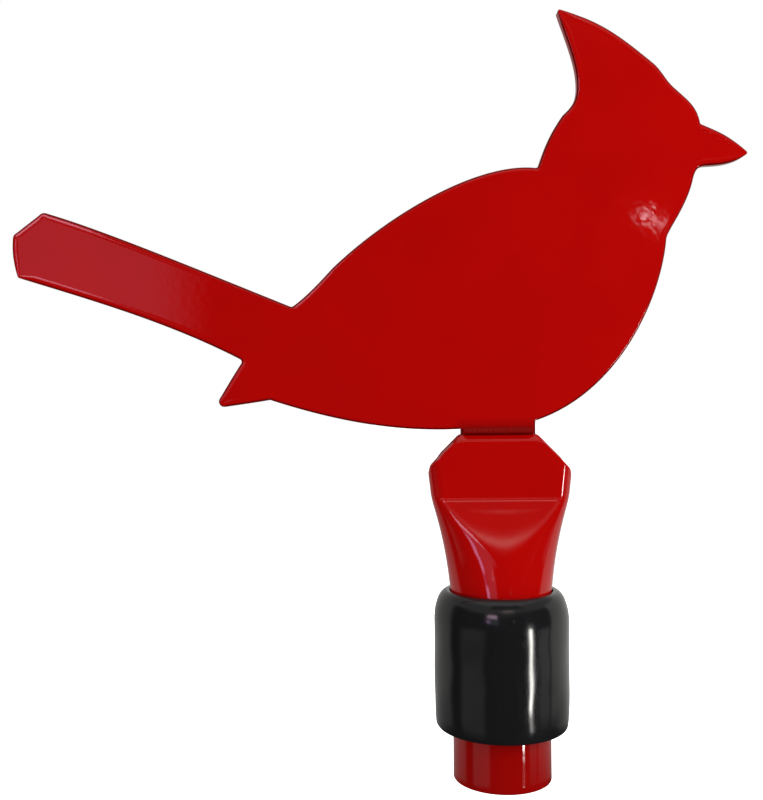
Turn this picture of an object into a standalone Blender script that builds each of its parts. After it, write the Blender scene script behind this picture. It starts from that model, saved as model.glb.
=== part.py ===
"""A garden pole topper: a flat painted bird held in the pressed end of a tube, with a slip collar.

The tube stands on +Z with the middle of its open end at the origin. The bird's plate lies in the
XZ plane and its beak points to +X. The tube slips over a pole's reduced end, and the collar then
slides down to cover the joint.
"""

import math

import bmesh
import bpy
import numpy as np
from mathutils import Vector

MM = 0.001

# The tube and the shape of its pressed end
TUBE_DIAMETER = 25.4 * MM
TUBE_WALL = 1.6 * MM
TUBE_LENGTH = 89.2 * MM
PRESSED_HEIGHT = 16.4 * MM
PRESSED_FLARE = 1.9 * MM
TRANSITION_HEIGHT = 30.8 * MM
PRESS_ENTRY_SLOPE = 0.6
CORNER_CUT_ANGLE = math.radians(45)
CORNER_ROUND_ANGLE = math.radians(68)
CORNER_ROUND_DROP = 0.7 * MM
RIM_CHAMFER = 0.3 * MM

# The bird's plate and the tab that the tube grips
PLATE_THICKNESS = 3.0 * MM
PLATE_EDGE_ROUND = 0.7 * MM
BIRD_LENGTH = 191.2 * MM
TAB_WIDTH = 19.4 * MM
TAB_OFFSET = -0.5 * MM
TAB_DEPTH = 15.4 * MM
TAB_FOOT_RADIUS = 1.5 * MM
REAR_NECK_HEIGHT = 1.4 * MM
FRONT_NECK_HEIGHT = 3.4 * MM

# The fillet welds between the tab and the tube's mouth
WELD_HEIGHT = 1.5 * MM
WELD_THROAT_SHARE = 0.72
WELD_END_MARGIN = 0.6 * MM

# The slip collar
COLLAR_WALL = 4.6 * MM
COLLAR_HEIGHT = 35.2 * MM
COLLAR_GRIP = 6.8 * MM
COLLAR_SHOULDER = 7.5 * MM
COLLAR_LIP = 0.5 * MM
COLLAR_TAPER = 0.35 * MM
COLLAR_TAPER_HEIGHT = 12.0 * MM
COLLAR_FOOT_ROUND = 1.5 * MM

# Clearances
PRESS_GAP = 0.3 * MM
SLIDE_GAP = 0.2 * MM
WELD_GAP = 0.3 * MM

# How finely the round shapes are cut
QUARTER_STEPS = 12
TRANSITION_STEPS = 12
OUTLINE_STEP = 3.2 * MM
SHOULDER_STEPS = 7

TUBE_RADIUS = TUBE_DIAMETER / 2
PRESSED_DEPTH = TUBE_WALL + PLATE_THICKNESS / 2 + PRESS_GAP
CREASE_Z = TUBE_LENGTH - PRESSED_HEIGHT
TRANSITION_Z = CREASE_Z - TRANSITION_HEIGHT
TAB_REAR = TAB_OFFSET - TAB_WIDTH / 2
TAB_FRONT = TAB_OFFSET + TAB_WIDTH / 2

# The silhouette, anticlockwise from the front of the tab, as cubic curves. Each row holds the
# handle that leaves the last point, the handle that enters this point, the point itself and the
# radius that its corner is cut to, in millimetres from the middle of the tube's mouth.
DRAWN_LENGTH = 192.3
SILHOUETTE = (
    ("breast", (31.0, 10.4), (42.4, 34.6), (43.9, 50.6), 0),
    ("throat", (44.0, 52.6), (49.4, 58.9), (51.0, 66.3), 0),
    ("chin", (51.6, 68.8), (52.4, 69.7), (55.0, 69.7), 0),
    ("beak_under", (59.5, 69.9), (62.3, 70.4), (65.3, 72.8), 0.5),
    ("beak_top", (60.7, 77.5), (58.0, 78.4), (53.0, 80.6), 0.6),
    ("brow", (52.2, 85.4), (49.6, 86.9), (46.0, 90.3), 0),
    ("forehead", (44.0, 92.2), (43.0, 94.6), (41.0, 96.4), 0),
    ("crest_front", (32.6, 103.4), (26.8, 108.2), (15.7, 110.8), 0.5),
    ("crest_back", (17.6, 103.4), (21.1, 97.1), (20.8, 89.8), 0),
    ("nape", (20.5, 86.6), (19.6, 85.5), (17.0, 83.0), 0),
    ("neck", (13.6, 78.3), (12.1, 74.5), (10.4, 69.4), 0.8),
    ("back", (-5.3, 71.5), (-29.4, 57.0), (-43.5, 43.6), 0),
    ("rump", (-46.7, 40.1), (-50.4, 36.2), (-54.1, 33.6), 0.9),
    ("tail_top", (-78.0, 43.4), (-104.0, 54.6), (-118.9, 58.9), 1.6),
    ("tail_cut", (-121.5, 56.9), (-124.0, 55.0), (-126.7, 52.9), 1.6),
    ("tail_end", (-127.2, 49.6), (-126.9, 45.6), (-125.4, 41.8), 0.8),
    ("tail_under", (-105.4, 35.5), (-85.7, 29.6), (-67.0, 19.7), 0.8),
    ("vent", (-69.5, 15.9), (-72.0, 11.8), (-74.6, 7.3), 1.4),
    ("vent_under", (-69.6, 8.0), (-64.7, 8.6), (-60.0, 9.4), 0),
)
BELLY_HANDLES = ((-43.5, 3.9), (-27.4, 0.6))


def clear_scene():
    for obj in list(bpy.data.objects):
        bpy.data.objects.remove(obj, do_unlink=True)


def painted_steel():
    material = bpy.data.materials.new("red_powder_coat")
    material.use_nodes = True
    shader = material.node_tree.nodes["Principled BSDF"]
    shader.inputs["Base Color"].default_value = (0.40, 0.004, 0.002, 1)
    shader.inputs["Roughness"].default_value = 0.22
    shader.inputs["Metallic"].default_value = 0.0
    return material


def black_rubber():
    material = bpy.data.materials.new("black_collar_rubber")
    material.use_nodes = True
    shader = material.node_tree.nodes["Principled BSDF"]
    shader.inputs["Base Color"].default_value = (0.012, 0.012, 0.013, 1)
    shader.inputs["Roughness"].default_value = 0.3
    shader.inputs["Metallic"].default_value = 0.0
    return material


def add_object(name, bm, material):
    """Makes a scene object of a finished bmesh, shaded smooth except at its sharp edges."""
    bmesh.ops.recalc_face_normals(bm, faces=bm.faces)
    mesh = bpy.data.meshes.new(name)
    bm.to_mesh(mesh)
    bm.free()
    mesh.shade_smooth()
    mesh.set_sharp_from_angle(angle=math.radians(35))
    mesh.materials.append(material)
    obj = bpy.data.objects.new(name, mesh)
    bpy.context.scene.collection.objects.link(obj)
    return obj


# The bird


def curve_points(start, leave, enter, end, step):
    """Points along a cubic curve after its start, up to and with its end, about a step apart."""
    span = (end - start).length
    count = max(2, math.ceil(span / step))
    points = []
    for i in range(1, count + 1):
        t = i / count
        s = 1 - t
        points.append(s**3 * start + 3 * s * s * t * leave + 3 * s * t * t * enter + t**3 * end)
    return points


def silhouette_points():
    """The bird's closed outline with its tab, in the XZ plane, and the radius of each cut corner."""
    scale = BIRD_LENGTH / DRAWN_LENGTH

    def placed(point):
        return Vector((point[0] * scale, 0, TUBE_LENGTH + point[1] * scale))

    tab_foot = TUBE_LENGTH - TAB_DEPTH
    points = [Vector((TAB_FRONT, 0, TUBE_LENGTH + FRONT_NECK_HEIGHT))]
    corners = []
    for _, leave, enter, end, radius in SILHOUETTE:
        points += curve_points(points[-1], placed(leave), placed(enter), placed(end), OUTLINE_STEP)
        if radius:
            corners.append((len(points) - 1, radius * MM))
    rear_neck = Vector((TAB_REAR, 0, TUBE_LENGTH + REAR_NECK_HEIGHT))
    leave, enter = (placed(handle) for handle in BELLY_HANDLES)
    points += curve_points(points[-1], leave, enter, rear_neck, OUTLINE_STEP)
    for x in (TAB_REAR, TAB_FRONT):
        corners.append((len(points), TAB_FOOT_RADIUS))
        points.append(Vector((x, 0, tab_foot)))
    return points, corners


def cut_corners(bm, verts, corners):
    for index, radius in corners:
        bmesh.ops.bevel(
            bm,
            geom=[verts[index]],
            offset=radius,
            offset_type="OFFSET",
            segments=3,
            profile=0.5,
            affect="VERTICES",
            material=-1,
        )


def build_bird_plate(material):
    points, corners = silhouette_points()
    bm = bmesh.new()
    verts = [bm.verts.new(point) for point in points]
    bm.faces.new(verts)
    cut_corners(bm, verts, corners)
    extruded = bmesh.ops.extrude_face_region(bm, geom=bm.faces[:])["geom"]
    moved = [item for item in extruded if isinstance(item, bmesh.types.BMVert)]
    bmesh.ops.translate(bm, verts=moved, vec=(0, PLATE_THICKNESS, 0))
    bmesh.ops.translate(bm, verts=bm.verts, vec=(0, -PLATE_THICKNESS / 2, 0))
    rims = [edge for edge in bm.edges if abs(edge.verts[0].co.y - edge.verts[1].co.y) < MM / 10]
    bmesh.ops.bevel(
        bm,
        geom=rims,
        offset=PLATE_EDGE_ROUND,
        offset_type="OFFSET",
        segments=2,
        profile=0.5,
        affect="EDGES",
        clamp_overlap=True,
        material=-1,
    )
    return add_object("bird_plate", bm, material)


# The tube


def tube_section(z):
    """(flat half-length, half-width, half-depth) of the tube's outer wall at a height.

    Pressing bends the wall without stretching it, so the half-width follows from the length of
    wall that the flat and the two round sides share. Above the crease the sides spread a little
    more towards the mouth.
    """
    t = min(max((z - TRANSITION_Z) / TRANSITION_HEIGHT, 0.0), 1.0)
    pressed = PRESS_ENTRY_SLOPE * t + (1 - PRESS_ENTRY_SLOPE) * t * t
    depth = TUBE_RADIUS - (TUBE_RADIUS - PRESSED_DEPTH) * pressed
    quarter = math.pi / 2 * TUBE_RADIUS
    flat = t * (quarter - math.pi / 2 * PRESSED_DEPTH)
    side_radius = (quarter - flat) * 2 / math.pi
    side_width = math.sqrt(2 * side_radius**2 - depth**2)
    flare = PRESSED_FLARE * max(z - CREASE_Z, 0.0) / PRESSED_HEIGHT
    return flat, flat + side_width + flare, depth


def section_ring(z, steps=QUARTER_STEPS):
    """Points around the outer wall at a height, evenly spaced along the wall, from +X towards +Y."""
    flat, width, depth = tube_section(z)
    turn = np.linspace(0, math.pi / 2, 40)
    x = np.append(flat + (width - flat) * np.cos(turn), 0.0)
    y = np.append(depth * np.sin(turn), depth)
    along = np.concatenate([[0], np.cumsum(np.hypot(np.diff(x), np.diff(y)))])
    at = np.linspace(0, along[-1], steps + 1)
    quarter = list(zip(np.interp(at, along, x), np.interp(at, along, y)))
    half = quarter + [(-px, py) for px, py in quarter[-2::-1]]
    return [Vector((px, py, z)) for px, py in half + [(px, -py) for px, py in half[-2:0:-1]]]


def tube_heights():
    """The heights of the tube's rings: dense through the transition and even in the pressed end."""
    steps = np.linspace(TRANSITION_Z, CREASE_Z, TRANSITION_STEPS + 1)
    return [0.0, *(float(z) for z in steps), TUBE_LENGTH]


def cut_mouth_corners(bm):
    """Cuts the pressed end's corners off at 45 degrees from the tab, and rounds where they end."""
    half_mouth = TAB_WIDTH / 2 + PRESS_GAP
    side = tube_section((CREASE_Z + TUBE_LENGTH) / 2)[1]
    round_z = TUBE_LENGTH - (side - half_mouth) * math.tan(CORNER_CUT_ANGLE) - CORNER_ROUND_DROP
    for sign in (1, -1):
        mouth = Vector((TAB_OFFSET + sign * half_mouth, 0, TUBE_LENGTH))
        corner = Vector((sign * side, 0, round_z))
        for point, angle in ((mouth, CORNER_CUT_ANGLE), (corner, CORNER_ROUND_ANGLE)):
            normal = Vector((sign * math.sin(angle), 0, math.cos(angle)))
            bmesh.ops.bisect_plane(
                bm,
                geom=bm.verts[:] + bm.edges[:] + bm.faces[:],
                dist=MM / 1000,
                plane_co=point,
                plane_no=normal,
                clear_outer=True,
            )


def build_pole_tube(material):
    bm = bmesh.new()
    bmesh.ops.create_circle(bm, segments=4 * QUARTER_STEPS, radius=TUBE_RADIUS)
    heights = tube_heights()
    bm.verts.ensure_lookup_table()
    ring = bm.verts[:]
    for vert, point in zip(ring, section_ring(heights[0])):
        vert.co = point
    for z in heights[1:]:
        edges = [edge for edge in bm.edges if all(vert in ring for vert in edge.verts)]
        raised = bmesh.ops.extrude_edge_only(bm, edges=edges)["geom"]
        above = [item for item in raised if isinstance(item, bmesh.types.BMVert)]
        partner = {}
        for vert in above:
            for edge in vert.link_edges:
                other = edge.other_vert(vert)
                if other in ring:
                    partner[other] = vert
        ring = [partner[vert] for vert in ring]
        for vert, point in zip(ring, section_ring(z)):
            vert.co = point
    cut_mouth_corners(bm)
    obj = add_object("pole_tube", bm, material)
    wall = obj.modifiers.new("wall", "SOLIDIFY")
    wall.thickness = TUBE_WALL
    wall.offset = -1
    wall.use_even_offset = True
    rim = obj.modifiers.new("rim", "BEVEL")
    rim.width = RIM_CHAMFER
    rim.segments = 1
    rim.limit_method = "ANGLE"
    rim.angle_limit = math.radians(60)
    return obj


# The welds


def build_weld_bead(name, side, material):
    """A fillet in the corner between the tab's face and the mouth's edge; side is -1 for the front."""
    inner = PLATE_THICKNESS / 2 + WELD_GAP
    outer = PRESSED_DEPTH
    low = TUBE_LENGTH + WELD_GAP
    throat = WELD_THROAT_SHARE / 2
    profile = (
        (inner, low),
        (outer, low),
        (inner + (outer - inner) * throat, low + WELD_HEIGHT * throat),
        (inner, low + WELD_HEIGHT),
    )
    rear, front = TAB_REAR + WELD_END_MARGIN, TAB_FRONT - WELD_END_MARGIN
    bm = bmesh.new()
    section = [bm.verts.new((rear, side * y, z)) for y, z in profile]
    bm.faces.new(section)
    extruded = bmesh.ops.extrude_face_region(bm, geom=bm.faces[:])["geom"]
    moved = [item for item in extruded if isinstance(item, bmesh.types.BMVert)]
    bmesh.ops.translate(bm, verts=moved, vec=(front - rear, 0, 0))
    return add_object(name, bm, material)


# The collar


def collar_profile():
    """The collar's closed outline as (radius, height), from the foot of its bore, anticlockwise."""
    top = TRANSITION_Z + COLLAR_GRIP
    base = top - COLLAR_HEIGHT
    bore = TUBE_RADIUS + SLIDE_GAP
    mouth = tube_section(top)[1] + SLIDE_GAP
    outer = bore + COLLAR_WALL
    foot = outer - COLLAR_TAPER
    shoulder_z = top - COLLAR_SHOULDER
    profile = [(bore, base), (foot - COLLAR_FOOT_ROUND, base)]
    for i in range(1, 4):
        turn = i / 3 * math.pi / 2
        radius = foot - COLLAR_FOOT_ROUND * (1 - math.sin(turn))
        profile.append((radius, base + COLLAR_FOOT_ROUND * (1 - math.cos(turn))))
    profile.append((outer - COLLAR_TAPER / 4, base + COLLAR_TAPER_HEIGHT / 2))
    profile.append((outer, base + COLLAR_TAPER_HEIGHT))
    reach = outer - mouth - COLLAR_LIP
    for i in range(SHOULDER_STEPS + 1):
        turn = i / SHOULDER_STEPS * math.pi / 2
        radius = outer - reach * (1 - math.cos(turn))
        profile.append((radius, shoulder_z + COLLAR_SHOULDER * math.sin(turn)))
    profile.append((mouth, top))
    profile.append((bore, min(TRANSITION_Z, top - COLLAR_LIP)))
    return profile


def build_slip_collar(material):
    bm = bmesh.new()
    verts = [bm.verts.new((radius, 0, z)) for radius, z in collar_profile()]
    edges = [bm.edges.new(pair) for pair in zip(verts, verts[1:] + verts[:1])]
    bmesh.ops.spin(
        bm,
        geom=verts + edges,
        cent=(0, 0, 0),
        axis=(0, 0, 1),
        angle=2 * math.pi,
        steps=4 * QUARTER_STEPS,
        use_merge=True,
    )
    return add_object("slip_collar", bm, material)


def main():
    clear_scene()
    paint = painted_steel()
    build_bird_plate(paint)
    build_pole_tube(paint)
    build_weld_bead("weld_bead_front", -1, paint)
    build_weld_bead("weld_bead_rear", 1, paint)
    build_slip_collar(black_rubber())


main()
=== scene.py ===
"""The finished look of a painted steel bird that stands on a garden pole.

Lengths are in metres, with the middle of the tube's open end at the origin, the tube upright and
the bird's beak towards +X. The bird is seen from -Y. The overall sizes are read from the CAD
pieces, and the shapes between them are set here.
"""

import math

import bmesh
import bpy
import numpy as np
from mathutils import Matrix, Vector


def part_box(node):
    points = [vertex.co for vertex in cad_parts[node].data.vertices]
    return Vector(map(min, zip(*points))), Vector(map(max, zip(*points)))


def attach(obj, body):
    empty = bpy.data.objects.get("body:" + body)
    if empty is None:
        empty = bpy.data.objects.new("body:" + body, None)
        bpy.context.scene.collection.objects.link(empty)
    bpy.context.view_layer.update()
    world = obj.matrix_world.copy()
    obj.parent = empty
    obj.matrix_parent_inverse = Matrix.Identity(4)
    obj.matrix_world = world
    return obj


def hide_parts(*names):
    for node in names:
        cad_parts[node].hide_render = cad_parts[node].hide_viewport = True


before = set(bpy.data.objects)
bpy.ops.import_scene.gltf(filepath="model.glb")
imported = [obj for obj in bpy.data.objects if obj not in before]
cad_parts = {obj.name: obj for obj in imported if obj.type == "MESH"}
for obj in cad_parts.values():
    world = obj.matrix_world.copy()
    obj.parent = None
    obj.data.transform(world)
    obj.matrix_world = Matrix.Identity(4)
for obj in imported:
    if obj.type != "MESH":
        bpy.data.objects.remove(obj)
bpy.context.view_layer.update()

MM = 0.001
MERGE_REACH = 0.0001 * MM

TUBE_LOW, TUBE_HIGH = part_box("pole_tube")
PLATE_LOW, PLATE_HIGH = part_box("bird_plate")
COLLAR_LOW, COLLAR_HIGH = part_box("slip_collar")
BEAD_LOW, BEAD_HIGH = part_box("weld_bead_front")

# Sizes read from the CAD pieces
TUBE_RADIUS = TUBE_HIGH.y
TUBE_LENGTH = TUBE_HIGH.z
PLATE_THICKNESS = PLATE_HIGH.y - PLATE_LOW.y
PRESSED_DEPTH = max(abs(BEAD_LOW.y), abs(BEAD_HIGH.y))
BEAD_INNER = min(abs(BEAD_LOW.y), abs(BEAD_HIGH.y))

# The tube's wall and its pressed end
TUBE_WALL = 1.6 * MM
PRESSED_HEIGHT = 16.4 * MM
PRESSED_FLARE = 1.9 * MM
TRANSITION_HEIGHT = 30.8 * MM
CREASE_Z = TUBE_LENGTH - PRESSED_HEIGHT
TRANSITION_Z = CREASE_Z - TRANSITION_HEIGHT

# The ramp: how fast its sides and its face are pressed, and the crease that ends it
PRESS_ENTRY_SLOPE = 0.6
PRESS_ENTRY_BLEND = 3.5 * MM
CREASE_BLEND = 0.15 * MM
CREASE_LIP = 0.07 * MM
CREASE_LIP_HEIGHT = 0.9 * MM
SIDE_BLEND = 2.5 * MM
FACE_ENTRY_SLOPE = 0.25

# The ramp's flat: the share of the press where it starts, and how fast it then widens
FLAT_START = 0.43
FLAT_START_BLEND = 0.08
FLAT_HASTE = 1.55

# The crown between the ramp's ridges, and the dimple under the middle of the crease
CROWN_HEIGHT = 0.45 * MM
CROWN_LOW_Z = TRANSITION_Z + 10.0 * MM
CROWN_HIGH_Z = CREASE_Z - 1.0 * MM
DIMPLE_CURVE = 0.35 / MM
DIMPLE_REACH = 0.9 * MM
DIMPLE_HALF_WIDTH = 13.0 * MM

# The mouth's rolled edge, its cut corners and the tube's foot
MOUTH_ROLL_HEIGHT = 2.0 * MM
MOUTH_ROLL_RADIUS = 1.0 * MM
MOUTH_ROLL_ANGLE = math.radians(48)
MOUTH_ROLL_DEPTH = 1.25 * MM
CORNER_ROLL_SHARE = 0.3
CORNER_ROLL_REACH = 2.0 * MM
SIDE_ROLL = 0.35
MOUTH_INNER_ROUND = 0.25 * MM
FOOT_ROUND = 0.35 * MM
CORNER_SLOPE = 1.0
CORNER_BLEND = 0.5 * MM
SIDE_CORNER = 0.8 * MM
SIDE_CORNER_BLEND = 0.15 * MM
SIDE_CORNER_SLOPE = 1.8

# The rows that the wall is made of, and how many of the inside's keep the outside's paint. Above
# MOUTH_ROWS_Z they follow the cut mouth.
MOUTH_ROWS_Z = CREASE_Z + 1.2 * MM
RING_QUARTER = 36
STRAIGHT_ROWS = (2, 8, 16, 24, 32, 37)
RAMP_ROW_STEP = 0.8 * MM
CREASE_ROWS = 29
CREASE_ROWS_HEIGHT = 3.0 * MM
PAINTED_MOUTH_ROWS = 3

# The tab
TAB_MARGIN = 0.6 * MM
TAB_REAR = BEAD_LOW.x - TAB_MARGIN
TAB_FRONT = BEAD_HIGH.x + TAB_MARGIN
TAB_MIDDLE = (TAB_REAR + TAB_FRONT) / 2
TAB_GAP = 0.3 * MM
TAB_FOOT_RADIUS = 1.5 * MM
REAR_NECK_HEIGHT = 1.4 * MM
FRONT_NECK_HEIGHT = 3.4 * MM

# The bird is drawn this wide from tail to beak, and the drawing is scaled to the plate
DRAWN_SPAN = 191.98 * MM
DRAWING_SCALE = (PLATE_HIGH.x - PLATE_LOW.x) / DRAWN_SPAN * MM
OUTLINE_STEP = 0.9 * MM
CORNER_NEIGHBOURS = 8

# The plate's edge, and the name of the attribute that says how much painted shade darkens its
# rounded edge
EDGE_ROUND = 0.7 * MM
EDGE_SEGMENTS = 7
TIP_ROUND_SHARE = 0.36
TIP_ROUND_GROWTH = 0.115
RIM_DROP = 0.07
EDGE_SHADE = "edge_shade"

# The paint stands in a low ridge beside the edge: how far in each row is and how far below the
# plate's full thickness, both as shares of the edge's rounding.
PAINT_RIM = ((2.6, 0.08), (2.3, 0.06), (1.9, 0.01), (1.7, 0.0), (1.5, 0.01), (1.15, 0.055))

# The bird's outline, anticlockwise from the front of the tab. Each row is a cubic curve: the
# handle that leaves the last point, the handle that enters this point, the point, and the radius
# of its corner, in millimetres from the middle of the tube's mouth.
SILHOUETTE = (
    ("breast", (31.0, 10.4), (42.4, 34.6), (43.9, 50.6), 0),
    ("throat", (44.0, 52.6), (49.4, 58.9), (51.0, 66.3), 0),
    ("chin", (51.6, 68.8), (52.4, 69.7), (55.0, 69.7), 0),
    ("beak_under", (59.5, 69.9), (62.3, 70.4), (65.3, 72.8), 0.5),
    ("beak_top", (60.7, 77.5), (58.0, 78.4), (53.0, 80.6), 0.6),
    ("brow", (52.2, 85.4), (49.6, 86.9), (46.0, 90.3), 0),
    ("forehead", (44.0, 92.2), (43.0, 94.6), (41.0, 96.4), 0),
    ("crest_front", (32.6, 103.4), (26.8, 108.2), (15.7, 110.8), 0.5),
    ("crest_back", (17.6, 103.4), (21.1, 97.1), (20.8, 89.8), 0),
    ("nape", (20.5, 86.6), (19.6, 85.5), (17.0, 83.0), 0),
    ("neck", (13.6, 78.3), (12.1, 74.5), (10.4, 69.4), 0.8),
    ("back", (-5.3, 71.5), (-29.4, 57.0), (-43.5, 43.6), 0),
    ("rump", (-46.7, 40.1), (-50.4, 36.2), (-54.1, 33.6), 0.9),
    ("tail_top", (-78.0, 43.4), (-104.0, 54.6), (-118.9, 58.9), 1.6),
    ("tail_cut", (-121.5, 56.9), (-124.0, 55.0), (-126.7, 52.9), 1.6),
    ("tail_end", (-127.2, 49.6), (-126.9, 45.6), (-125.4, 41.8), 0.8),
    ("tail_under", (-105.4, 35.5), (-85.7, 29.6), (-67.0, 19.7), 0.8),
    ("vent", (-69.5, 15.9), (-72.0, 11.8), (-74.6, 7.3), 1.4),
    ("vent_under", (-69.6, 8.0), (-64.7, 8.6), (-60.0, 9.4), 0),
)
BELLY_HANDLES = ((-43.5, 3.9), (-27.4, 0.6))

# The weld beads
BEAD_RIPPLES = 17
BEAD_RIPPLE_DEPTH = 0.07 * MM
BEAD_STEPS_PER_RIPPLE = 8
BEAD_THROAT = 0.72

# The collar
COLLAR_GAP = 0.2 * MM
COLLAR_BORE = TUBE_RADIUS + COLLAR_GAP
COLLAR_SHOULDER = 7.5 * MM
COLLAR_LIP = 0.5 * MM
COLLAR_TAPER = 0.35 * MM
COLLAR_TAPER_HEIGHT = 12.0 * MM
COLLAR_FOOT_ROUND = 1.1 * MM
COLLAR_WAVE = 0.05 * MM
COLLAR_SKIN = 1.2 * MM
COLLAR_SKIN_BLEND = 0.6 * MM
COLLAR_STEPS = 160


# ---------------------------------------------------------------- node helpers


def link(tree, source, target):
    tree.links.new(source, target)


def feed(tree, socket, value):
    """Links a socket to another socket, or sets it to a plain value."""
    if isinstance(value, bpy.types.NodeSocket):
        tree.links.new(value, socket)
    else:
        socket.default_value = value


def calculate(tree, operation, *values):
    node = tree.nodes.new("ShaderNodeMath")
    node.operation = operation
    for socket, value in zip(node.inputs, values):
        feed(tree, socket, value)
    return node.outputs[0]


def ramp_between(tree, value, low, high, start=0.0, end=1.0):
    """A smooth step of value from start, at low, to end, at high."""
    node = tree.nodes.new("ShaderNodeMapRange")
    node.interpolation_type = "SMOOTHSTEP"
    feed(tree, node.inputs["Value"], value)
    feed(tree, node.inputs["From Min"], low)
    feed(tree, node.inputs["From Max"], high)
    feed(tree, node.inputs["To Min"], start)
    feed(tree, node.inputs["To Max"], end)
    return node.outputs["Result"]


def mix_colours(tree, factor, first, second):
    node = tree.nodes.new("ShaderNodeMix")
    node.data_type = "RGBA"
    feed(tree, node.inputs[0], factor)
    feed(tree, node.inputs[6], first)
    feed(tree, node.inputs[7], second)
    return node.outputs[2]


def noise(tree, vector, scale, detail=2.0, roughness=0.5):
    node = tree.nodes.new("ShaderNodeTexNoise")
    feed(tree, node.inputs["Vector"], vector)
    feed(tree, node.inputs["Scale"], scale)
    feed(tree, node.inputs["Detail"], detail)
    feed(tree, node.inputs["Roughness"], roughness)
    return node.outputs["Fac"]


def bump(tree, height, distance, normal=None):
    node = tree.nodes.new("ShaderNodeBump")
    feed(tree, node.inputs["Height"], height)
    feed(tree, node.inputs["Distance"], distance)
    if normal is not None:
        link(tree, normal, node.inputs["Normal"])
    return node.outputs["Normal"]


def new_group(name, inputs, outputs):
    """An empty shader group, what it is given and what it puts out."""
    group = bpy.data.node_groups.new(name, "ShaderNodeTree")
    for label, kind, value in inputs:
        socket = group.interface.new_socket(label, in_out="INPUT", socket_type=kind)
        socket.default_value = value
    for label, kind in outputs:
        group.interface.new_socket(label, in_out="OUTPUT", socket_type=kind)
    given = group.nodes.new("NodeGroupInput").outputs
    result = group.nodes.new("NodeGroupOutput").inputs
    return group, given, result


def use_group(tree, group, **values):
    """Places a group in a material. An underscore in a value's name is a space in the socket's."""
    node = tree.nodes.new("ShaderNodeGroup")
    node.node_tree = group
    for label, value in values.items():
        feed(tree, node.inputs[label.replace("_", " ")], value)
    return node.outputs


def new_material(name):
    material = bpy.data.materials.new(name)
    material.use_nodes = True
    tree = material.node_tree
    return material, tree, tree.nodes["Principled BSDF"]


# ---------------------------------------------------------------- finishes


def baked_enamel_group():
    """Cured powder paint: faint mottling, orange peel and the slow waviness of the steel below."""
    group, given, result = new_group(
        "baked_enamel",
        (
            ("Colour", "NodeSocketColor", (0.4, 0.0, 0.0, 1)),
            ("Deep Colour", "NodeSocketColor", (0.3, 0.0, 0.0, 1)),
            ("Mottle Scale", "NodeSocketFloat", 60.0),
            ("Peel Scale", "NodeSocketFloat", 600.0),
            ("Peel Depth", "NodeSocketFloat", 0.0000095),
            ("Wave Scale", "NodeSocketFloat", 40.0),
            ("Wave Depth", "NodeSocketFloat", 0.00002),
        ),
        (("Colour", "NodeSocketColor"), ("Normal", "NodeSocketVector")),
    )
    place = group.nodes.new("ShaderNodeTexCoord").outputs["Object"]
    mottle = noise(group, place, given["Mottle Scale"], 3.0)
    share = ramp_between(group, mottle, 0.3, 0.7)
    link(group, mix_colours(group, share, given["Deep Colour"], given["Colour"]), result["Colour"])
    wave = bump(group, noise(group, place, given["Wave Scale"], 1.0), given["Wave Depth"])
    peel = noise(group, place, given["Peel Scale"], 1.5, 0.4)
    link(group, bump(group, peel, given["Peel Depth"], wave), result["Normal"])
    return group


def red_enamel(group):
    """The glossy red paint, darkened as painted shade at the tube's foot, by the welds and along
    the plate's rounded edge.
    """
    material, tree, shader = new_material("red_enamel")
    skin = use_group(
        tree,
        group,
        Colour=(0.47, 0.0011, 0.0004, 1),
        Deep_Colour=(0.445, 0.0009, 0.0004, 1),
    )
    place = tree.nodes.new("ShaderNodeTexCoord").outputs["Object"]
    axes = tree.nodes.new("ShaderNodeSeparateXYZ")
    link(tree, place, axes.inputs["Vector"])
    # Painted shade: below the collar the tube's foot is darkened, standing in for the dimmer light
    # there.
    foot = ramp_between(tree, axes.outputs["Z"], 0.014, 0.03, 1.0, 0.0)
    coat = mix_colours(tree, foot, skin["Colour"], (0.335, 0.0012, 0.0005, 1))
    # Painted shade: the tab just above the mouth, over the welds, is darkened where the corner
    # lies in shade.
    over_mouth = calculate(tree, "SUBTRACT", axes.outputs["Z"], TUBE_LENGTH)
    fading = ramp_between(tree, over_mouth, 0.001, 0.005, 0.6, 0.0)
    above_mouth = ramp_between(tree, over_mouth, -0.0004, 0.0)
    along_tab = calculate(tree, "SUBTRACT", axes.outputs["X"], TAB_MIDDLE)
    off_middle = calculate(tree, "ABSOLUTE", along_tab)
    on_tab = ramp_between(tree, off_middle, 0.009, 0.013, 1.0, 0.0)
    weld_corner_shade = calculate(tree, "MULTIPLY", calculate(tree, "MULTIPLY", fading, above_mouth), on_tab)
    coat = mix_colours(tree, weld_corner_shade, coat, (0.17, 0.001, 0.0005, 1))
    # Painted shade: along the plate's rounded edge the colour is darkened almost to black and the
    # gloss turned down.
    edge = tree.nodes.new("ShaderNodeAttribute")
    edge.attribute_name = EDGE_SHADE
    edge_darkening = calculate(tree, "MULTIPLY", edge.outputs["Fac"], 0.85)
    coat = mix_colours(tree, edge_darkening, coat, (0.05, 0.001, 0.001, 1))
    gloss = ramp_between(tree, edge.outputs["Fac"], 0.0, 1.0, 0.5, 0.08)
    link(tree, coat, shader.inputs["Base Color"])
    link(tree, skin["Normal"], shader.inputs["Normal"])
    link(tree, gloss, shader.inputs["Specular IOR Level"])
    shader.inputs["Roughness"].default_value = 0.04
    return material


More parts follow.
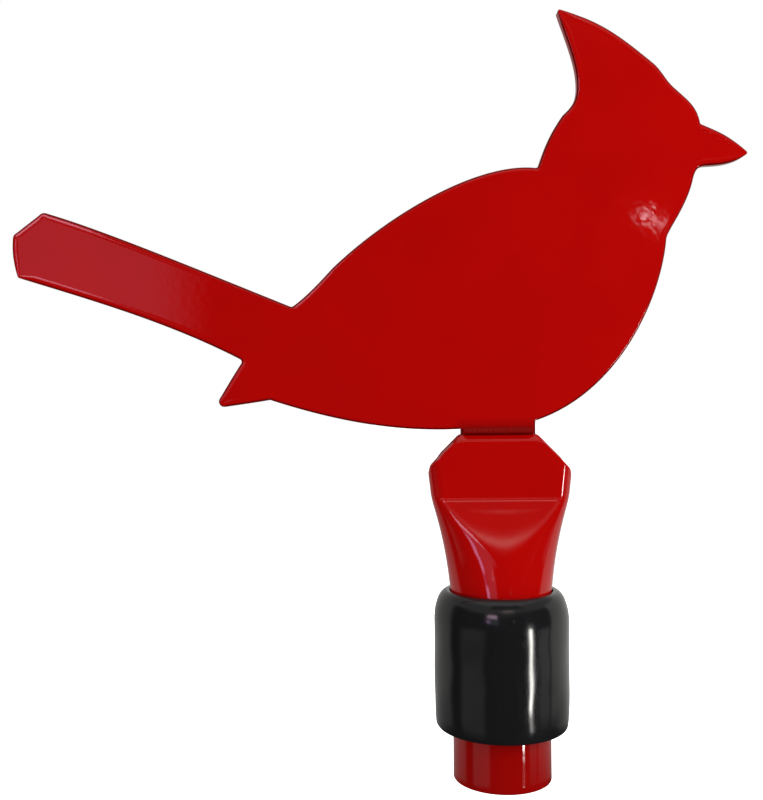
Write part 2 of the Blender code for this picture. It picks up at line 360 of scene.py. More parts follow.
def shaded_weld_enamel(group):
    """The paint over the welds, darkened as painted shade for the corner that they fill."""
    material, tree, shader = new_material("shaded_weld_enamel")
    skin = use_group(
        tree,
        group,
        # Painted shade: both colours are a darker copy of the red paint, for the shaded corner.
        Colour=(0.24, 0.0012, 0.0008, 1),
        Deep_Colour=(0.19, 0.001, 0.0006, 1),
        Peel_Depth=0.00002,
    )
    link(tree, skin["Colour"], shader.inputs["Base Color"])
    link(tree, skin["Normal"], shader.inputs["Normal"])
    shader.inputs["Roughness"].default_value = 0.3
    shader.inputs["Specular IOR Level"].default_value = 0.12
    return material


def oversprayed_bore(group):
    """The tube's inside: red overspray near each end that thins out to bare drawn steel."""
    material, tree, shader = new_material("oversprayed_bore")
    skin = use_group(
        tree,
        group,
        Colour=(0.30, 0.0012, 0.0006, 1),
        Deep_Colour=(0.22, 0.001, 0.0005, 1),
        Peel_Scale=1500.0,
        Peel_Depth=0.00003,
    )
    place = tree.nodes.new("ShaderNodeTexCoord").outputs["Object"]
    axes = tree.nodes.new("ShaderNodeSeparateXYZ")
    link(tree, place, axes.inputs["Vector"])
    speckle = calculate(tree, "MULTIPLY", noise(tree, place, 900.0, 4.0, 0.7), 0.012)
    depth = calculate(tree, "ADD", axes.outputs["Z"], speckle)
    from_foot = ramp_between(tree, depth, 0.010, 0.034)
    from_mouth = ramp_between(tree, depth, TUBE_LENGTH - 0.012, TUBE_LENGTH - 0.004, 1.0, 0.0)
    bare = calculate(tree, "MULTIPLY", from_foot, from_mouth)
    scale = noise(tree, place, 220.0, 5.0, 0.65)
    steel = mix_colours(tree, scale, (0.16, 0.15, 0.145, 1), (0.30, 0.29, 0.28, 1))
    coat = mix_colours(tree, bare, skin["Colour"], steel)
    link(tree, coat, shader.inputs["Base Color"])
    link(tree, ramp_between(tree, bare, 0.0, 1.0, 0.0, 0.85), shader.inputs["Metallic"])
    link(tree, ramp_between(tree, bare, 0.0, 1.0, 0.35, 0.5), shader.inputs["Roughness"])
    link(tree, skin["Normal"], shader.inputs["Normal"])
    return material


def black_vinyl():
    """Dip-moulded vinyl: glossy, with lengthwise drag lines, soft sags and specks of dust."""
    material, tree, shader = new_material("black_vinyl")
    place = tree.nodes.new("ShaderNodeTexCoord").outputs["Object"]
    stretch = tree.nodes.new("ShaderNodeMapping")
    stretch.inputs["Scale"].default_value = (1.0, 1.0, 0.08)
    link(tree, place, stretch.inputs["Vector"])
    drag = noise(tree, stretch.outputs["Vector"], 420.0, 3.0)
    sag = noise(tree, place, 110.0, 1.0)
    dust = ramp_between(tree, noise(tree, place, 3200.0, 2.0), 0.66, 0.74)
    shade = mix_colours(tree, drag, (0.0075, 0.0075, 0.0085, 1), (0.0105, 0.0105, 0.0112, 1))
    shade = mix_colours(tree, dust, shade, (0.016, 0.016, 0.017, 1))
    link(tree, shade, shader.inputs["Base Color"])
    link(tree, ramp_between(tree, drag, 0.3, 0.7, 0.11, 0.16), shader.inputs["Roughness"])
    soft = bump(tree, sag, 0.00005)
    link(tree, bump(tree, drag, 0.000004, soft), shader.inputs["Normal"])
    return material


def pale_floor():
    """Matt white that glows enough to look evenly white."""
    material, tree, shader = new_material("pale_floor")
    shader.inputs["Base Color"].default_value = (0.9, 0.9, 0.9, 1)
    shader.inputs["Roughness"].default_value = 0.9
    shader.inputs["Emission Color"].default_value = (1, 1, 1, 1)
    shader.inputs["Emission Strength"].default_value = 1.0
    return material


# ---------------------------------------------------------------- mesh helpers


def smooth_step(t):
    """A step from 0 to 1 that starts and ends level."""
    t = min(max(t, 0.0), 1.0)
    return t * t * (3 - 2 * t)


def soft_ramp(value, blend):
    """Zero below nothing and value above it, joined by a parabola twice blend wide."""
    if value <= -blend:
        return 0.0
    if value >= blend:
        return value
    return (value + blend) ** 2 / (4 * blend)


def finish_piece(name, bm, body, node, slot, *materials, sharp=35):
    """Makes an object of a bmesh, dresses it, and lets it stand for its CAD node."""
    bmesh.ops.remove_doubles(bm, verts=bm.verts, dist=MERGE_REACH)
    bmesh.ops.recalc_face_normals(bm, faces=bm.faces)
    mesh = bpy.data.meshes.new(name)
    bm.to_mesh(mesh)
    bm.free()
    mesh.shade_smooth()
    mesh.set_sharp_from_angle(angle=math.radians(sharp))
    for material in materials:
        mesh.materials.append(material)
    piece = bpy.data.objects.new(name, mesh)
    bpy.context.scene.collection.objects.link(piece)
    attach(piece, body)
    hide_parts(node)
    return piece


def extrude_ring(bm, ring, points):
    """Extrudes a closed ring of vertices once and puts the new ring on the given points."""
    members = set(ring)
    edges = [edge for edge in bm.edges if edge.verts[0] in members and edge.verts[1] in members]
    raised = bmesh.ops.extrude_edge_only(bm, edges=edges)["geom"]
    above = {item for item in raised if isinstance(item, bmesh.types.BMVert)}
    partner = {}
    for vert in above:
        for edge in vert.link_edges:
            other = edge.other_vert(vert)
            if other in members:
                partner[other] = vert
    following = [partner[vert] for vert in ring]
    for vert, point in zip(following, points):
        vert.co = point
    return following


def start_ring(bm, points):
    """The first closed ring of vertices, on the given points."""
    bmesh.ops.create_circle(bm, segments=len(points), radius=TUBE_RADIUS)
    ring = bm.verts[:]
    for vert, point in zip(ring, points):
        vert.co = point
    return ring


# ---------------------------------------------------------------- the bird


def curve_points(start, leave, enter, end, step):
    """Points along a cubic curve after its start, up to and with its end, about a step apart."""
    count = max(3, math.ceil((end - start).length / step))
    points = []
    for i in range(1, count + 1):
        t = i / count
        s = 1 - t
        points.append(s**3 * start + 3 * s * s * t * leave + 3 * s * t * t * enter + t**3 * end)
    return points


def drawn(point):
    """A point of the drawing as its place in the plate's middle plane."""
    return Vector((point[0] * DRAWING_SCALE, 0, TUBE_LENGTH + point[1] * DRAWING_SCALE))


def rounded_corner(before, corner, after, radius, segments=7):
    """The circular arc that replaces a corner between two neighbours, and how far it reaches."""
    into = (before - corner).normalized()
    out = (after - corner).normalized()
    half_angle = into.angle(out) / 2
    reach = radius / math.tan(half_angle)
    centre = corner + (into + out).normalized() * radius / math.sin(half_angle)
    first = corner + into * reach - centre
    last = corner + out * reach - centre
    sweep = first.angle(last)
    points = []
    for i in range(segments + 1):
        t = i / segments
        share = (math.sin((1 - t) * sweep) * first + math.sin(t * sweep) * last) / math.sin(sweep)
        points.append(centre + share)
    return points, reach


def straight_neighbours(points, i, radius):
    """The outline's points on either side of a corner that set the directions it turns between."""
    steps = range(1, CORNER_NEIGHBOURS + 1)
    earlier = (points[i - j] for j in steps)
    later = (points[(i + j) % len(points)] for j in steps)
    before = next(point for point in earlier if (point - points[i]).length > radius)
    after = next(point for point in later if (point - points[i]).length > radius)
    return before, after


def bird_outline():
    """The closed outline, anticlockwise, and the tips where the edge has less room to round."""
    points = [Vector((TAB_FRONT, 0, TUBE_LENGTH + FRONT_NECK_HEIGHT))]
    corners = {}
    for _, leave, enter, end, radius in SILHOUETTE:
        points += curve_points(points[-1], drawn(leave), drawn(enter), drawn(end), OUTLINE_STEP)
        if radius:
            corners[len(points) - 1] = radius * MM
    rear_neck = Vector((TAB_REAR, 0, TUBE_LENGTH + REAR_NECK_HEIGHT))
    leave, enter = (drawn(handle) for handle in BELLY_HANDLES)
    points += curve_points(points[-1], leave, enter, rear_neck, OUTLINE_STEP)
    corners[len(points)] = TAB_FOOT_RADIUS
    points.append(Vector((TAB_REAR, 0, PLATE_LOW.z)))
    corners[len(points)] = TAB_FOOT_RADIUS
    points.append(Vector((TAB_FRONT, 0, PLATE_LOW.z)))
    outline = []
    tips = []
    skipped = set()
    for i, point in enumerate(points):
        if i in corners:
            before, after = straight_neighbours(points, i, corners[i])
            arc, reach = rounded_corner(before, point, after, corners[i])
            for j in range(-CORNER_NEIGHBOURS, CORNER_NEIGHBOURS + 1):
                near = (i + j) % len(points)
                if j and near not in corners and (points[near] - point).length < reach:
                    skipped.add(near)
            outline.append((i, arc))
            if (point - before).cross(after - point).y < 0:
                tips.append((point, corners[i], reach))
        else:
            outline.append((i, [point]))
    return [place for i, places in outline if i not in skipped for place in places], tips


def outline_normals(outline):
    """At each point of the outline, the direction into the plate."""
    normals = []
    for i, point in enumerate(outline):
        along = (outline[(i + 1) % len(outline)] - outline[i - 1]).normalized()
        normals.append(Vector((-along.z, 0, along.x)))
    return normals


def edge_rounds(outline, tips):
    """How far the edge is rounded at each point: less where a tip leaves no room for it."""
    rounds = []
    for point in outline:
        rooms = [
            TIP_ROUND_SHARE * radius + TIP_ROUND_GROWTH * max(0.0, (point - tip).length - reach)
            for tip, radius, reach in tips
        ]
        rounds.append(min(EDGE_ROUND, *rooms))
    return rounds


def painted_edge_shade(inset):
    """How much painted shade darkens a row of the edge: most where it turns, less on its narrow
    side.
    """
    return smooth_step(1.25 * (1 - inset)) * (1 - 0.7 * smooth_step(1 - 4 * inset))


def make_bird(material):
    """The plate: rings climb from one face round the rounded edge to the other face."""
    outline, tips = bird_outline()
    inward = outline_normals(outline)
    rounds = edge_rounds(outline, tips)
    half = PLATE_THICKNESS / 2
    turns = [math.radians(90 * i / EDGE_SEGMENTS) for i in range(EDGE_SEGMENTS + 1)]
    rows = [(inset, -1, drop) for inset, drop in PAINT_RIM]
    fall = 1 - RIM_DROP
    rows += [(1 - math.sin(turn), -1, 1 - fall * math.cos(turn)) for turn in turns]
    rows += [(1 - math.sin(turn), 1, 1 - fall * math.cos(turn)) for turn in reversed(turns)]
    rows += [(inset, 1, drop) for inset, drop in reversed(PAINT_RIM)]
    bm = bmesh.new()
    # This layer holds how much painted shade darkens each row of the edge.
    coat = bm.verts.layers.float.new(EDGE_SHADE)
    ring = None
    for inset, side, drop in rows:
        points = []
        for point, normal, size in zip(outline, inward, rounds):
            moved = point + normal * size * inset
            moved.y = side * (half - size * drop)
            points.append(moved)
        ring = extrude_ring(bm, ring, points) if ring else start_ring(bm, points)
        for vert in ring:
            vert[coat] = painted_edge_shade(inset)
        if len(bm.faces) == 0:
            bm.faces.new(ring)
    bm.faces.new(ring)
    bird = finish_piece("bird", bm, "topper", "bird_plate", "red_powder_coat", material, sharp=60)
    even = bird.modifiers.new("flat_faces", "WEIGHTED_NORMAL")
    even.mode = "FACE_AREA"
    even.weight = 100
    even.keep_sharp = True
    return bird


# ---------------------------------------------------------------- the tube


def press_share(z, crease_blend):
    """How far the pressing has come at a height, from 0 to 1, with a soft start and end."""
    if z < TRANSITION_Z + TRANSITION_HEIGHT / 2:
        climbed = soft_ramp(z - TRANSITION_Z, PRESS_ENTRY_BLEND)
    else:
        climbed = TRANSITION_HEIGHT - soft_ramp(CREASE_Z - z, crease_blend)
    return min(max(climbed / TRANSITION_HEIGHT, 0.0), 1.0)


def side_spread(z):
    """How far the pressed end's sides have flared at a height above the crease."""
    return PRESSED_FLARE * soft_ramp(z - CREASE_Z, SIDE_BLEND) / PRESSED_HEIGHT


def side_reach(z):
    """The outer wall's half-width: the wall keeps its length and flares a little at the mouth."""
    t = press_share(z, SIDE_BLEND)
    pressed = PRESS_ENTRY_SLOPE * t + (1 - PRESS_ENTRY_SLOPE) * t * t
    depth = TUBE_RADIUS - (TUBE_RADIUS - PRESSED_DEPTH) * pressed
    quarter = math.pi / 2 * TUBE_RADIUS
    flat = t * (quarter - math.pi / 2 * PRESSED_DEPTH)
    side_radius = (quarter - flat) * 2 / math.pi
    return flat + math.sqrt(2 * side_radius**2 - depth**2) + side_spread(z)


def tube_section(z):
    """(flat half-length, half-width, half-depth) of the outer wall at a height.

    The face stays round over the lower part of the ramp, then its flat widens fast.
    """
    t = press_share(z, CREASE_BLEND)
    pressed = FACE_ENTRY_SLOPE * t + (1 - FACE_ENTRY_SLOPE) * t * t
    depth = TUBE_RADIUS - (TUBE_RADIUS - PRESSED_DEPTH) * pressed
    levelled = min(soft_ramp(t - FLAT_START, FLAT_START_BLEND) / (1 - FLAT_START), 1.0)
    widened = 1 - (1 - levelled) ** FLAT_HASTE
    flat = t * math.pi / 2 * (TUBE_RADIUS - PRESSED_DEPTH) * widened
    return flat, side_reach(z), depth


def wall_quarter(z):
    """Points of the outer wall at a height from +X to +Y, evenly spaced along the wall."""
    flat, width, depth = tube_section(z)
    turn = np.linspace(0, math.pi / 2, 60)
    x = np.append(flat + (width - flat) * np.cos(turn), 0.0)
    y = np.append(depth * np.sin(turn), depth)
    along = np.concatenate([[0], np.cumsum(np.hypot(np.diff(x), np.diff(y)))])
    at = np.linspace(0, along[-1], RING_QUARTER + 1)
    return list(zip(np.interp(at, along, x), np.interp(at, along, y)))


def wall_ring(z):
    """The outer wall's points all round at a height, with their outward directions."""
    quarter = wall_quarter(z)
    half = quarter + [(-x, y) for x, y in quarter[-2::-1]]
    ring = [Vector((x, y, z)) for x, y in half + [(x, -y) for x, y in half[-2:0:-1]]]
    outward = []
    for i, point in enumerate(ring):
        along = ring[(i + 1) % len(ring)] - ring[i - 1]
        outward.append(Vector((along.y, -along.x, 0)).normalized())
    return ring, outward


def press_relief(x, z):
    """How far the ramp stands out from its straight section at a place.

    The lip of the crease and the crown between the ridges stand out, and the dimple under the
    crease's middle lies back.
    """
    below = CREASE_Z - z
    if below <= 0:
        return 0.0
    relief = CREASE_LIP * math.sin(math.pi * min(below / CREASE_LIP_HEIGHT, 1.0)) ** 2
    flat = tube_section(z)[0]
    if CROWN_LOW_Z < z < CROWN_HIGH_Z:
        reach = 1.5 * flat + 2 * MM
        if abs(x) < reach:
            rise = math.sin(math.pi * (z - CROWN_LOW_Z) / (CROWN_HIGH_Z - CROWN_LOW_Z)) ** 2
            relief += CROWN_HEIGHT * rise * (1 - (x / reach) ** 2) ** 2
    sunk = below - CREASE_LIP_HEIGHT
    if sunk > 0 and abs(x) < DIMPLE_HALF_WIDTH:
        across = (1 - (x / DIMPLE_HALF_WIDTH) ** 2) ** 2
        relief -= DIMPLE_CURVE * sunk**2 * math.exp(-sunk / DIMPLE_REACH) * across
    return relief


def past_level(x):
    """How far a place across the tube is beyond the level part of the mouth's edge."""
    return abs(x - TAB_MIDDLE) - (TAB_FRONT - TAB_REAR) / 2 - TAB_GAP


def mouth_height(x, width):
    """The height of the mouth's edge across the tube: level, then cut, then rounded off."""
    cut = soft_ramp(past_level(x), CORNER_BLEND) * CORNER_SLOPE
    side = soft_ramp(abs(x) - (width - SIDE_CORNER), SIDE_CORNER_BLEND) * SIDE_CORNER_SLOPE
    return TUBE_LENGTH - cut - side


def roll_share(x):
    """How much of the mouth's roll is left at a place across the tube: less on the cut corners."""
    return 1 - (1 - CORNER_ROLL_SHARE) * smooth_step(past_level(x) / CORNER_ROLL_REACH)


def tube_rows():
    """The outer and the inner wall's rows as (height, share, drop, inset).

    A row up to the pressed end has a height. One with None follows the cut mouth instead: it is
    that share of the way up the pressed end, with its top that much below the mouth's edge.
    """
    straight = [(z * MM, 0, 0, 0) for z in STRAIGHT_ROWS]
    fine_start = CREASE_Z - CREASE_ROWS_HEIGHT
    ramp = np.arange(TRANSITION_Z - 4 * MM, fine_start, RAMP_ROW_STEP)
    crease = np.linspace(fine_start, MOUTH_ROWS_Z, CREASE_ROWS)
    turns = [math.radians(90 * i / 4) for i in range(5)]
    outer = [
        (FOOT_ROUND * (1 - math.cos(turn)), 0, 0, FOOT_ROUND * (1 - math.sin(turn)))
        for turn in turns
    ]
    outer += straight
    outer += [(float(z), 0, 0, 0) for z in ramp]
    outer += [(float(z), 0, 0, 0) for z in crease]
    outer += [(None, i / 9, MOUTH_ROLL_HEIGHT, 0) for i in range(1, 10)]
    for i in range(1, 8):
        turn = MOUTH_ROLL_ANGLE * i / 7
        drop = MOUTH_ROLL_HEIGHT - MOUTH_ROLL_RADIUS * math.sin(turn)
        outer.append((None, 1, drop, MOUTH_ROLL_RADIUS * (1 - math.cos(turn))))
    _, _, rolled_drop, rolled_inset = outer[-1]
    for i in range(1, 5):
        t = i / 4
        drop = rolled_drop * (1 - smooth_step(t) * 0.3 - t * 0.7)
        outer.append((None, 1, drop, rolled_inset + (MOUTH_ROLL_DEPTH - rolled_inset) * t))
    inner = []
    for turn in turns:
        inset = TUBE_WALL - MOUTH_INNER_ROUND * (1 - math.sin(turn))
        inner.append((None, 1, MOUTH_INNER_ROUND * (1 - math.cos(turn)), inset))
    inner += [(None, i / 5, MOUTH_ROLL_HEIGHT, TUBE_WALL) for i in range(5, -1, -1)]
    inner += [(float(z), 0, 0, TUBE_WALL) for z in crease[::-4]]
    inner += [(float(z), 0, 0, TUBE_WALL) for z in ramp[::-2]]
    inner += [(z, 0, 0, TUBE_WALL) for z, _, _, _ in straight[::-1]]
    inner += [
        (FOOT_ROUND * (1 - math.sin(turn)), 0, 0, TUBE_WALL - FOOT_ROUND * (1 - math.cos(turn)))
        for turn in turns
    ]
    return outer, inner


def level_row(height, inset):
    """The points of a row that lies at one height, with the ramp's relief."""
    points = []
    for point, away in zip(*wall_ring(height)):
        place = point - away * inset
        place.y += math.copysign(press_relief(point.x, height), point.y) * abs(away.y)
        points.append(place)
    return points


def mouth_row(share, drop, inset):
    """The points of a row that follows the cut mouth.

    A point's flare depends on its height and the mouth's height on how far out the point is, so
    each is worked out from the other a few times.
    """
    ring, outward = wall_ring(MOUTH_ROWS_Z)
    width = max(point.x for point in ring)
    points = []
    for point, away in zip(ring, outward):
        place = point - away * inset * (SIDE_ROLL + (1 - SIDE_ROLL) * abs(away.y))
        spread = 1.0
        for _ in range(3):
            x = point.x * spread
            top = mouth_height(x, width * spread) - drop * roll_share(x)
            place.z = MOUTH_ROWS_Z + (top - MOUTH_ROWS_Z) * share
            spread = 1 + (side_spread(place.z) - side_spread(MOUTH_ROWS_Z)) / width
        place.x *= spread
        points.append(place)
    return points


def row_points(row):
    """The row's place on the wall, all round."""
    height, share, drop, inset = row
    return mouth_row(share, drop, inset) if height is None else level_row(height, inset)


def make_tube(enamel, bore):
    """The tube: rings climb its outside, turn in at the mouth and go down its inside."""
    outer, inner = tube_rows()
    bm = bmesh.new()
    ring = start_ring(bm, row_points(outer[0]))
    first = list(ring)
    for row in outer[1:]:
        ring = extrude_ring(bm, ring, row_points(row))
    bare_start = len(bm.faces) + PAINTED_MOUTH_ROWS * len(ring)
    for row in inner:
        ring = extrude_ring(bm, ring, row_points(row))
    bm.faces.ensure_lookup_table()
    for face in bm.faces[bare_start:]:
        face.material_index = 1
    ends = set(first) | set(ring)
    edges = [edge for edge in bm.edges if edge.is_boundary and ends.issuperset(edge.verts)]
    bmesh.ops.bridge_loops(bm, edges=edges)
    coats = (enamel, bore)
    return finish_piece("tube", bm, "topper", "pole_tube", "red_powder_coat", *coats, sharp=60)


# ---------------------------------------------------------------- the weld beads


def bead_section(side, swell):
    """The bead's hollow cross-section as (y, z) points, a little fuller on a ripple's crown."""
    low = BEAD_LOW.z
    height = BEAD_HIGH.z - low - BEAD_RIPPLE_DEPTH
    width = PRESSED_DEPTH - BEAD_INNER - BEAD_RIPPLE_DEPTH
    points = [(BEAD_INNER, low), (BEAD_INNER + width, low)]
    for i in range(1, 8):
        t = i / 8
        straight = Vector((width * (1 - t), height * t))
        hollow = straight - Vector((width, height)) * (1 - BEAD_THROAT) * 2 * t * (1 - t)
        points.append((BEAD_INNER + hollow.x + swell, low + hollow.y + swell))
    points.append((BEAD_INNER, low + height))
    return [(side * y, z) for y, z in points]


def make_bead(name, side, node, material):
    """A weld bead along the tab: its section runs from end to end in ripples."""
    rear, front = BEAD_LOW.x, BEAD_HIGH.x
    steps = BEAD_RIPPLES * BEAD_STEPS_PER_RIPPLE
    bm = bmesh.new()
    ring = None
    for i in range(steps + 1):
        x = rear + (front - rear) * i / steps
        phase = (i / BEAD_STEPS_PER_RIPPLE) % 1.0
        swell = BEAD_RIPPLE_DEPTH * math.sin(math.pi * phase) ** 0.6
        end_taper = min(1.0, 0.9 + min(i, steps - i) / BEAD_STEPS_PER_RIPPLE * 0.1)
        points = []
        for y, z in bead_section(side, swell):
            y = side * BEAD_INNER + (y - side * BEAD_INNER) * end_taper
            points.append(Vector((x, y, BEAD_LOW.z + (z - BEAD_LOW.z) * end_taper)))
        ring = extrude_ring(bm, ring, points) if ring else start_ring(bm, points)
        if len(bm.faces) == 0:
            bm.faces.new(ring)
    bm.faces.new(ring)
    return finish_piece(name, bm, "topper", node, "red_powder_coat", material, sharp=50)


# ---------------------------------------------------------------- the collar


def collar_profile():
    """The collar's closed outline as (radius, height), from the foot of its bore."""
    base, top = COLLAR_LOW.z, COLLAR_HIGH.z
    outer = COLLAR_HIGH.x
    mouth = tube_section(top)[1] + COLLAR_GAP
    foot = outer - COLLAR_TAPER
    shoulder_z = top - COLLAR_SHOULDER
    profile = [(COLLAR_BORE + 0.3 * MM, base), (foot - COLLAR_FOOT_ROUND, base)]
    for i in range(1, 9):
        turn = i / 8 * math.pi / 2
        radius = foot - COLLAR_FOOT_ROUND * (1 - math.sin(turn))
        profile.append((radius, base + COLLAR_FOOT_ROUND * (1 - math.cos(turn))))
    start = base + COLLAR_FOOT_ROUND
    for i in range(1, 25):
        t = i / 24
        z = start + (shoulder_z - start) * t
        rise = min(1.0, (z - base) / COLLAR_TAPER_HEIGHT)
        profile.append((foot + COLLAR_TAPER * (1 - (1 - rise) ** 2), z))
    reach = outer - mouth - COLLAR_LIP
    for i in range(1, 25):
        turn = i / 24 * math.pi / 2
        radius = outer - reach * (1 - math.cos(turn))
        profile.append((radius, shoulder_z + COLLAR_SHOULDER * math.sin(turn)))
    profile.append((mouth + 0.12 * MM, top - 0.03 * MM))
    profile.append((mouth, top - 0.2 * MM))
    for i in range(1, 7):
        z = top - (top - TRANSITION_Z) * i / 6
        profile.append((max(COLLAR_BORE, tube_section(z)[1] + COLLAR_GAP), z))
    profile.append((COLLAR_BORE, base + 0.3 * MM))
    return profile


def collar_wave(angle, z):
    """The outer skin's gentle sags, a few hundredths of a millimetre deep."""
    first = math.sin(5 * angle + 2 * math.pi * z / (17 * MM) + 0.6)
    second = math.sin(9 * angle - 2 * math.pi * z / (11 * MM) + 2.1)
    return COLLAR_WAVE * (0.7 * first + 0.3 * second)


def make_collar(material):
    """The collar: its outline is spun round, then its outer skin gets its sags."""
    bm = bmesh.new()
    verts = [bm.verts.new((radius, 0, z)) for radius, z in collar_profile()]
    edges = [bm.edges.new(pair) for pair in zip(verts, verts[1:] + verts[:1])]
    bmesh.ops.spin(
        bm,
        geom=verts + edges,
        cent=(0, 0, 0),
        axis=(0, 0, 1),
        angle=2 * math.pi,
        steps=COLLAR_STEPS,
        use_merge=True,
    )
    skin = COLLAR_HIGH.x - COLLAR_SKIN
    for vert in bm.verts:
        radius = vert.co.xy.length
        share = min(1.0, max(0.0, (radius - skin) / COLLAR_SKIN_BLEND))
        if share > 0:
            wave = collar_wave(math.atan2(vert.co.y, vert.co.x), vert.co.z) - COLLAR_WAVE
            vert.co.xy *= 1 + wave * share / radius
    return finish_piece("collar", bm, "collar", "slip_collar", "black_collar_rubber", material)


# ---------------------------------------------------------------- the studio


CAMERA_DISTANCE = 256 * MM
CAMERA_X = -30.7 * MM
CAMERA_Z = 98.3 * MM
CAMERA_ROLL = math.radians(0.48)
CAMERA_LENS = 44.2
FLOOR_Z = -60 * MM

# What the gloss mirrors, by where it stands round the object: azimuth and elevation ranges in
# degrees, azimuth 0 towards the camera and 90 towards +X, then the softness of its edges, its
# colour and its strength. A later card covers the ones before it.
CARDS = (
    ("ceiling", (-200, 200), (25, 130), 7.0, (1.0, 0.93, 0.9), 0.36),
    ("high_ceiling", (-200, 200), (58, 130), 10.0, (1.0, 0.98, 0.95), 0.72),
    ("dark_ceiling", (-30, 40), (41, 62), 4.0, (1.0, 0.9, 0.85), 0.12),
    ("ceiling_lamp", (-4, 17), (29, 35), 5.0, (1.0, 0.88, 0.8), 1.9),
    ("right_sweep", (84, 200), (-19, 32), 4.0, (1.0, 1.0, 0.95), 0.66),
    ("left_sweep", (-200, -101), (-21, 32), 7.0, (1.0, 0.98, 0.95), 0.45),
    ("right_wall", (59, 80), (-19, -10), 4.0, (1.0, 1.0, 1.02), 0.6),
    ("left_wall", (-78, -36), (-24, -12), 5.0, (1.0, 1.0, 1.0), 0.3),
    ("tall_strip", (41.2, 46.0), (-19.7, -6.5), 0.6, (1.0, 0.98, 0.93), 40.0),
    ("strip_top", (40.0, 46.0), (-2, 2), 1.0, (1.0, 0.95, 0.95), 1.2),
    ("strip_foot", (40.5, 46.5), (-23, -21.6), 0.5, (1.0, 0.95, 0.93), 9.0),
    ("faint_strip", (40.5, 46.5), (-21.6, -19.7), 0.6, (1.0, 0.95, 0.93), 0.5),
    ("side_window", (-30, -13), (13.5, 23), 1.5, (1.0, 0.66, 0.86), 4.8),
    ("blue_screen", (-31, -24), (4, 9.5), 2.0, (0.85, 0.55, 1.0), 5.0),
    ("pale_board", (-26, -11.5), (2, 15), 2.0, (0.75, 0.78, 1.0), 0.5),
    ("lamp_left", (14.95, 15.3), (10.1, 10.4), 0.12, (1.0, 0.8, 0.83), 30.0),
    ("lamp_middle", (15.5, 15.8), (9.65, 9.9), 0.1, (1.0, 0.8, 0.83), 16.0),
    ("lamp_right", (16.1, 16.35), (9.35, 9.55), 0.1, (1.0, 0.8, 0.83), 34.0),
)
DARK_ROOM = (0.03, 0.028, 0.028, 1)

# Name, place and target in metres, width, height and power of each lamp.
LAMPS = (
    ("key_light", (0.3, -0.26, 0.19), (0, 0, 0.11), 0.2, 0.3, 1.31),
    ("fill_light", (-0.34, -0.15, 0.05), (0, 0, 0.05), 0.2, 0.2, 0.4),
    ("back_light", (-0.06, 0.5, 0.18), (0, 0, 0.1), 0.4, 0.4, 2.6),
)


def between(tree, value, limits, soft):
    """A mask that is 1 inside the limits and 0 outside them, with a soft edge at each."""
    low = ramp_between(tree, value, limits[0] - soft, limits[0] + soft)
    high = ramp_between(tree, value, limits[1] - soft, limits[1] + soft, 1.0, 0.0)
    return calculate(tree, "MULTIPLY", low, high)


def mirrored_room(tree, axes):
    """The colour that gloss sees in each direction: a dark room with the cards in it."""
    degrees = 180 / math.pi
    height = calculate(tree, "ARCSINE", axes.outputs["Z"])
    elevation = calculate(tree, "MULTIPLY", height, degrees)
    towards = calculate(tree, "MULTIPLY", axes.outputs["Y"], -1.0)
    turn = calculate(tree, "ARCTAN2", axes.outputs["X"], towards)
    azimuth = calculate(tree, "MULTIPLY", turn, degrees)
    colour = DARK_ROOM
    for _, across, up, soft, tint, strength in CARDS:
        mask = calculate(
            tree,
            "MULTIPLY",
            between(tree, azimuth, across, soft),
            between(tree, elevation, up, soft),
        )
        lit = tuple(strength * channel for channel in tint) + (1.0,)
        colour = mix_colours(tree, mask, colour, lit)
    return colour


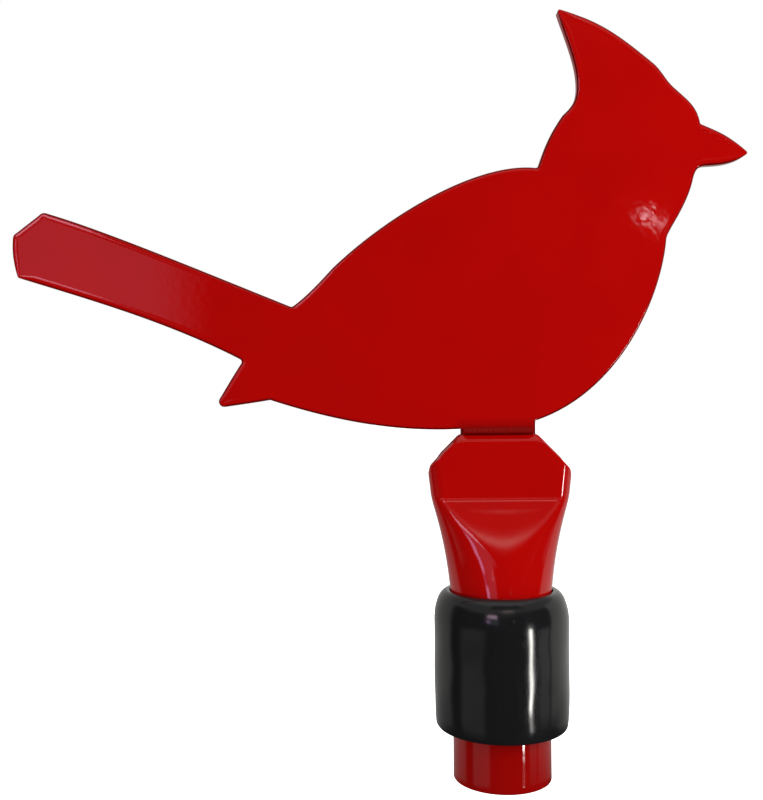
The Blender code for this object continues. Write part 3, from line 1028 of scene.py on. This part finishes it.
def make_world():
    """White behind the object, soft light from the front and above, and the cards for gloss."""
    world = bpy.data.worlds.new("studio")
    bpy.context.scene.world = world
    world.use_nodes = True
    world.cycles.sampling_method = "NONE"
    tree = world.node_tree
    axes = tree.nodes.new("ShaderNodeSeparateXYZ")
    place = tree.nodes.new("ShaderNodeTexCoord").outputs["Generated"]
    link(tree, place, axes.inputs["Vector"])
    facing = calculate(tree, "MULTIPLY", axes.outputs["Y"], -1.0)
    facing = calculate(tree, "ADD", facing, calculate(tree, "MULTIPLY", axes.outputs["Z"], 0.55))
    soft_light = mix_colours(
        tree,
        ramp_between(tree, facing, -0.9, 1.0),
        (0.095, 0.095, 0.095, 1),
        (0.435, 0.435, 0.435, 1),
    )
    path = tree.nodes.new("ShaderNodeLightPath")
    seen = mix_colours(tree, path.outputs["Is Diffuse Ray"], mirrored_room(tree, axes), soft_light)
    seen = mix_colours(tree, path.outputs["Is Camera Ray"], seen, (1, 1, 1, 1))
    link(tree, seen, tree.nodes["Background"].inputs["Color"])


def make_lamps():
    """Area lamps that light the object and aren't mirrored in it."""
    for name, place, target, width, height, power in LAMPS:
        lamp = bpy.data.lights.new(name, "AREA")
        lamp.shape = "RECTANGLE"
        lamp.size = width
        lamp.size_y = height
        lamp.energy = power
        light = bpy.data.objects.new(name, lamp)
        bpy.context.scene.collection.objects.link(light)
        aim = Vector(target) - Vector(place)
        turned = aim.to_track_quat("-Z", "Y").to_matrix().to_4x4()
        light.matrix_world = Matrix.Translation(place) @ turned
        light.visible_glossy = False
        light.visible_camera = False


def make_floor():
    """A pale floor well below the object, which casts nothing on it."""
    bm = bmesh.new()
    bmesh.ops.create_grid(bm, x_segments=4, y_segments=4, size=6.0)
    bmesh.ops.translate(bm, verts=bm.verts, vec=(0, 0, FLOOR_Z))
    mesh = bpy.data.meshes.new("floor")
    bm.to_mesh(mesh)
    bm.free()
    mesh.materials.append(pale_floor())
    floor = bpy.data.objects.new("floor", mesh)
    bpy.context.scene.collection.objects.link(floor)
    floor.visible_glossy = False
    floor.visible_diffuse = False
    floor.visible_shadow = False


def make_camera():
    view = bpy.data.cameras.new("camera")
    view.lens = CAMERA_LENS
    view.sensor_width = 36.0
    view.clip_start = 0.01
    camera = bpy.data.objects.new("camera", view)
    bpy.context.scene.collection.objects.link(camera)
    camera.location = (CAMERA_X, -CAMERA_DISTANCE, CAMERA_Z)
    camera.rotation_euler = (math.radians(90), CAMERA_ROLL, 0)
    bpy.context.scene.camera = camera


make_camera()
enamel_skin = baked_enamel_group()
red = red_enamel(enamel_skin)
make_bird(red)
make_tube(red, oversprayed_bore(enamel_skin))
weld_paint = shaded_weld_enamel(enamel_skin)
make_bead("weld_front", -1, "weld_bead_front", weld_paint)
make_bead("weld_rear", 1, "weld_bead_rear", weld_paint)
make_collar(black_vinyl())
make_world()
make_lamps()
make_floor()
bpy.context.scene.view_settings.view_transform = "Standard"
